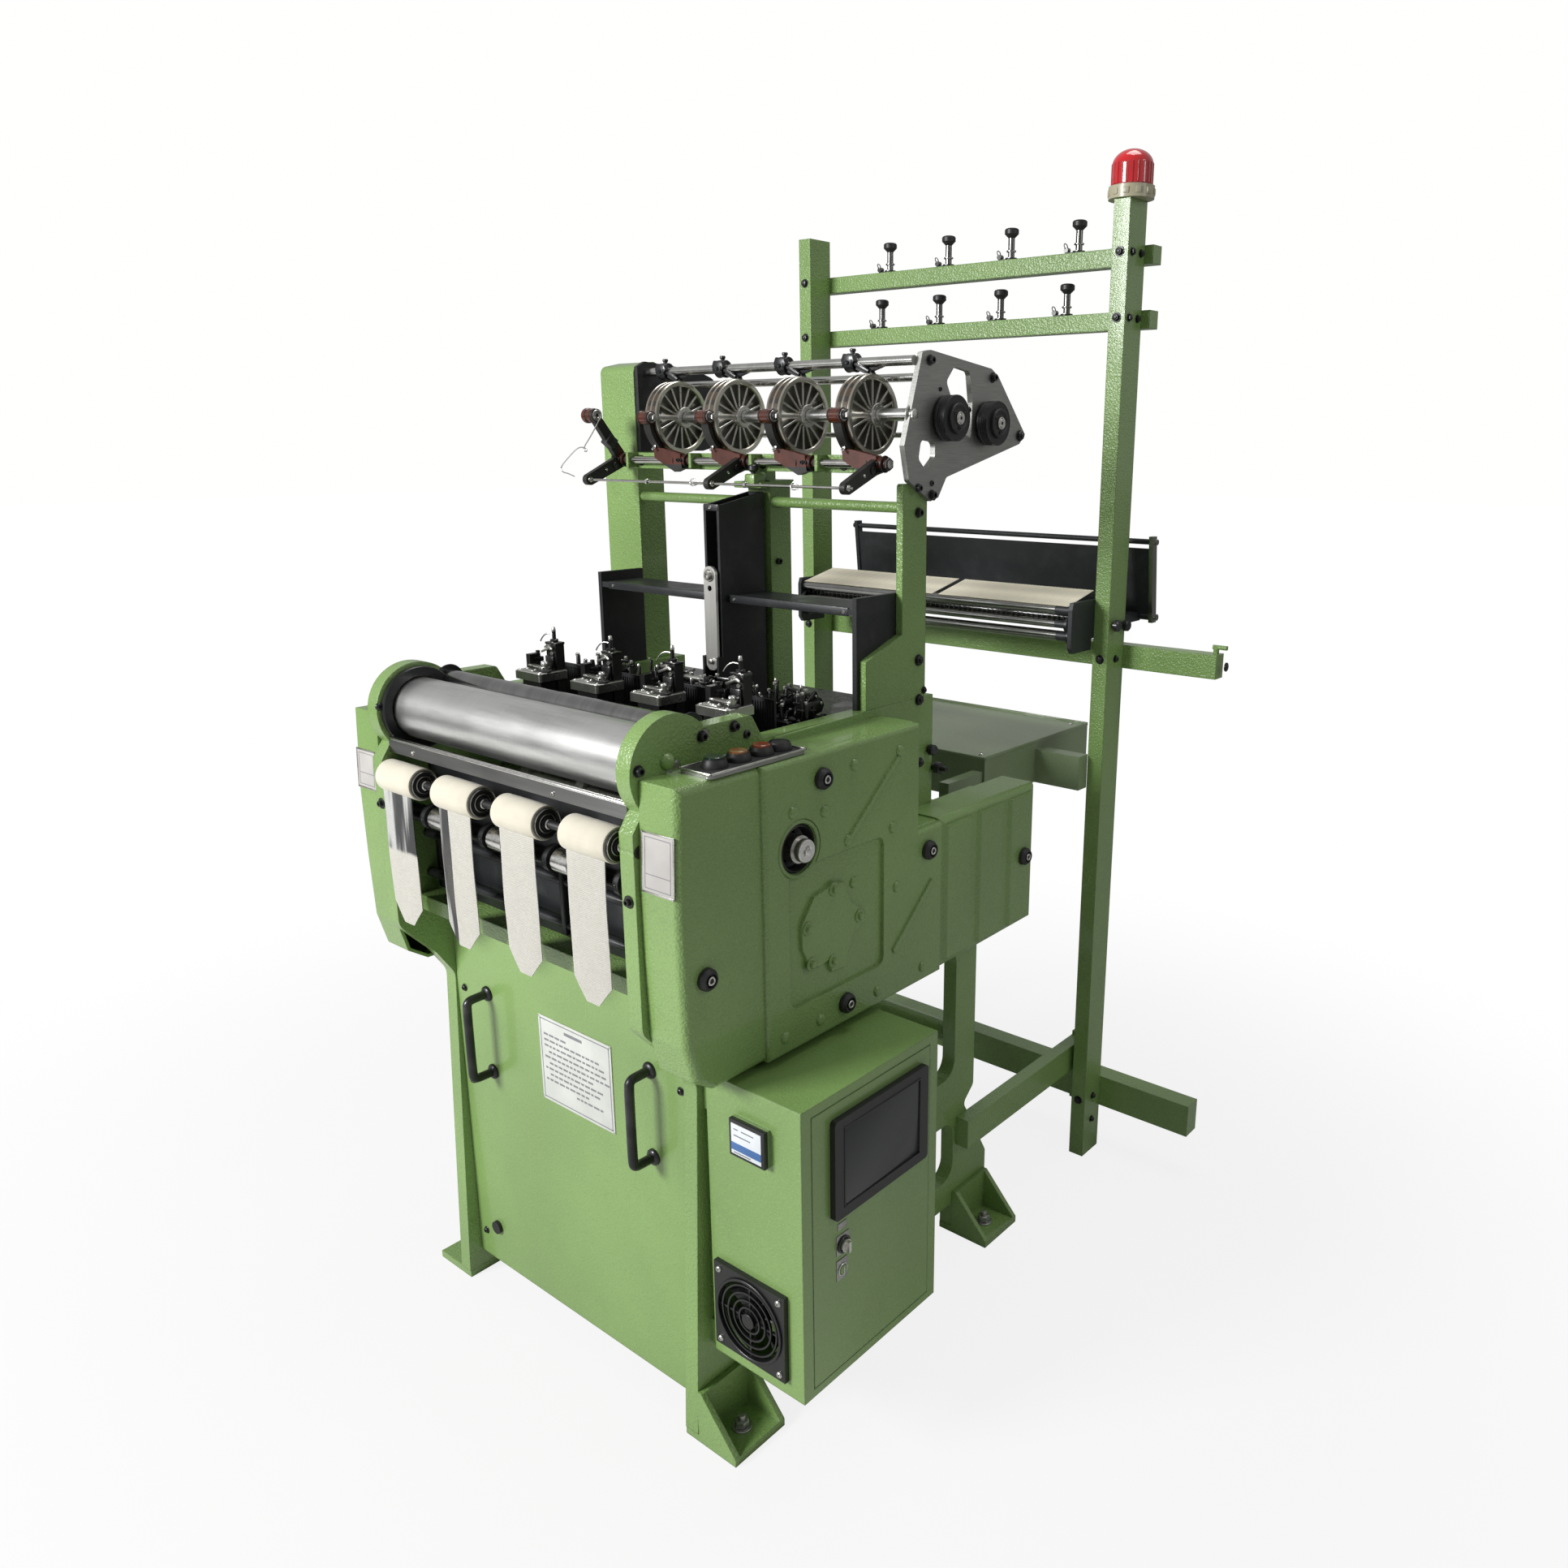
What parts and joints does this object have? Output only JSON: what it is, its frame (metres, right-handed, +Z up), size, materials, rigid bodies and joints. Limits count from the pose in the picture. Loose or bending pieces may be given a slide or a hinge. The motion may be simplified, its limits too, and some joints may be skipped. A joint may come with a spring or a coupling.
{
  "type": "power loom",
  "caption": "Narrow-fabric needle loom: green cast side frames, tape take-up rollers at the front, a wheel head above, control box with screen, and a creel behind",
  "frame": {"origin": "centre of the four floor bolts, on the floor", "axes": "+Z up, -Y the weaver's side where the tapes come out, +X the side of the control box"},
  "size_m": [1.094, 1.23, 1.862],
  "materials": {
    "green_paint": "hammertone",
    "steel": "worn, a little oiled",
    "plate_steel": "satin",
    "roller_steel": "turned bright",
    "fastener_steel": "black oxide, oily",
    "black_metal": "blackened, oily",
    "cream_cloth": "cloth covering",
    "tape_cloth": "woven tape",
    "warp_cloth": "yarn sheet",
    "black_rubber": "matt",
    "button_green": "glossy",
    "button_amber": "glossy",
    "button_red": "glossy",
    "black_plastic": "matt",
    "wheel_alloy": "machined",
    "lamp_plastic": "clear red lens",
    "cream_plastic": "smooth"
  },
  "bodies": {
    "frame": {"side_frame_right": "green_paint", "side_frame_left": "green_paint", "feet_right": "green_paint", "feet_left": "green_paint", "nose_bar": "steel", "guide_rod": "steel", "woven_tapes": "tape_cloth", "cross_beams": "green_paint", "bed_deck": "black_metal", "front_panel": "green_paint", "panel_handles": "black_metal", "right_cover": "green_paint", "left_cover": "green_paint", "rear_cover": "green_paint", "rubber_plugs": "black_rubber", "switch_plate": "plate_steel", "control_box": "green_paint", "fan_guard": "black_plastic", "column_left": "green_paint", "column_right": "green_paint", "head_rails": "green_paint", "head_plate_right": "plate_steel", "head_plate_left": "black_metal", "head_rods": "steel", "harness_guide": "black_metal", "link_bar": "steel", "weft_heads": "black_metal", "creel_post_right": "green_paint", "creel_post_left": "green_paint", "creel_top_rails": "green_paint", "creel_mid_rail": "green_paint", "thread_tensioners": "black_metal", "creel_base": "green_paint", "table": "green_paint", "stop_motion_frame": "black_metal", "warp_sheets": "warp_cloth", "beacon_base": "cream_plastic", "beacon_dome": "lamp_plastic", "fasteners": "fastener_steel"},
    "drum": {"take_up_drum": "roller_steel"},
    "nip_roller": {"press_roller": "roller_steel"},
    "tape_winder": {"tape_rolls": "cream_cloth"},
    "crank_shaft": {"main_shaft": "steel"},
    "sley": {"reed_sley": "steel"},
    "needle_a": {"weft_needle_1": "steel"},
    "needle_b": {"weft_needle_2": "steel"},
    "needle_c": {"weft_needle_3": "steel"},
    "needle_d": {"weft_needle_4": "steel"},
    "feed": {"feed_shaft": "steel", "feed_wheels": "wheel_alloy"},
    "pulley_front": {"front_pulley": "black_metal"},
    "pulley_rear": {"rear_pulley": "black_metal"},
    "pressers": {"press_levers": "black_metal"},
    "button_a": {"jog_button": "button_green"},
    "button_b": {"start_button": "button_amber"},
    "button_c": {"stop_button": "button_red"},
    "door": {"control_door": "green_paint", "touch_screen": "black_plastic"},
    "key": {"key_switch": "steel"},
    "fan": {"fan_rotor": "black_plastic"}
  },
  "joints": [
    {"name": "drum_turn", "type": "hinge", "parent": "frame", "child": "drum", "pos_m": [0, -0.356, 1.003], "axis": [1, 0, 0], "continuous": true},
    {"name": "nip_turn", "type": "hinge", "parent": "frame", "child": "nip_roller", "pos_m": [0, -0.302, 1.03622], "axis": [1, 0, 0], "continuous": true},
    {"name": "tape_roll_turn", "type": "hinge", "parent": "frame", "child": "tape_winder", "pos_m": [0, -0.416, 0.91], "axis": [1, 0, 0], "continuous": true},
    {"name": "main_shaft_turn", "type": "hinge", "parent": "frame", "child": "crank_shaft", "pos_m": [0, -0.211, 0.876], "axis": [1, 0, 0], "continuous": true},
    {"name": "sley_rock", "type": "hinge", "parent": "frame", "child": "sley", "pos_m": [0, -0.125, 0.846], "axis": [1, 0, 0], "range_deg": [-6, 6]},
    {"name": "needle_a_swing", "type": "hinge", "parent": "frame", "child": "needle_a", "pos_m": [-0.18425, -0.192, 1.05], "axis": [0, 0, 1], "range_deg": [0, 60]},
    {"name": "needle_b_swing", "type": "hinge", "parent": "frame", "child": "needle_b", "pos_m": [-0.04675, -0.192, 1.05], "axis": [0, 0, 1], "range_deg": [0, 60]},
    {"name": "needle_c_swing", "type": "hinge", "parent": "frame", "child": "needle_c", "pos_m": [0.09075, -0.192, 1.05], "axis": [0, 0, 1], "range_deg": [0, 60]},
    {"name": "needle_d_swing", "type": "hinge", "parent": "frame", "child": "needle_d", "pos_m": [0.22825, -0.192, 1.05], "axis": [0, 0, 1], "range_deg": [0, 60]},
    {"name": "feed_turn", "type": "hinge", "parent": "frame", "child": "feed", "pos_m": [0, 0.115, 1.431], "axis": [1, 0, 0], "continuous": true},
    {"name": "front_pulley_turn", "type": "hinge", "parent": "frame", "child": "pulley_front", "pos_m": [0.304, 0.191, 1.427], "axis": [1, 0, 0], "continuous": true},
    {"name": "rear_pulley_turn", "type": "hinge", "parent": "frame", "child": "pulley_rear", "pos_m": [0.304, 0.3, 1.421], "axis": [1, 0, 0], "continuous": true},
    {"name": "presser_lift", "type": "hinge", "parent": "frame", "child": "pressers", "pos_m": [0, 0.081, 1.362], "axis": [1, 0, 0], "range_deg": [0, 12]},
    {"name": "button_a_press", "type": "slide", "parent": "frame", "child": "button_a", "axis": [0, 0, -1], "range_m": [0, 0.004], "stiffness_N_per_m": 800, "springref_m": -0.001},
    {"name": "button_b_press", "type": "slide", "parent": "frame", "child": "button_b", "axis": [0, 0, -1], "range_m": [0, 0.004], "stiffness_N_per_m": 800, "springref_m": -0.001},
    {"name": "button_c_press", "type": "slide", "parent": "frame", "child": "button_c", "axis": [0, 0, -1], "range_m": [0, 0.004], "stiffness_N_per_m": 800, "springref_m": -0.001},
    {"name": "door_swing", "type": "hinge", "parent": "frame", "child": "door", "pos_m": [0.473, -0.06, 0.36], "axis": [0, 0, 1], "range_deg": [0, 110]},
    {"name": "key_turn", "type": "hinge", "parent": "door", "child": "key", "pos_m": [0.48, -0.253, 0.352], "axis": [1, 0, 0], "range_deg": [0, 90]},
    {"name": "fan_turn", "type": "hinge", "parent": "frame", "child": "fan", "pos_m": [0.379, -0.3, 0.236], "axis": [0, 1, 0], "continuous": true}
  ],
  "couplings": [
    {"joint": "nip_turn", "follows": "drum_turn", "ratio": -2.7059},
    {"joint": "tape_roll_turn", "follows": "drum_turn", "ratio": 1.9167},
    {"joint": "needle_b_swing", "follows": "needle_a_swing", "ratio": 1},
    {"joint": "needle_c_swing", "follows": "needle_a_swing", "ratio": 1},
    {"joint": "needle_d_swing", "follows": "needle_a_swing", "ratio": 1},
    {"joint": "rear_pulley_turn", "follows": "front_pulley_turn", "ratio": 1}
  ]
}
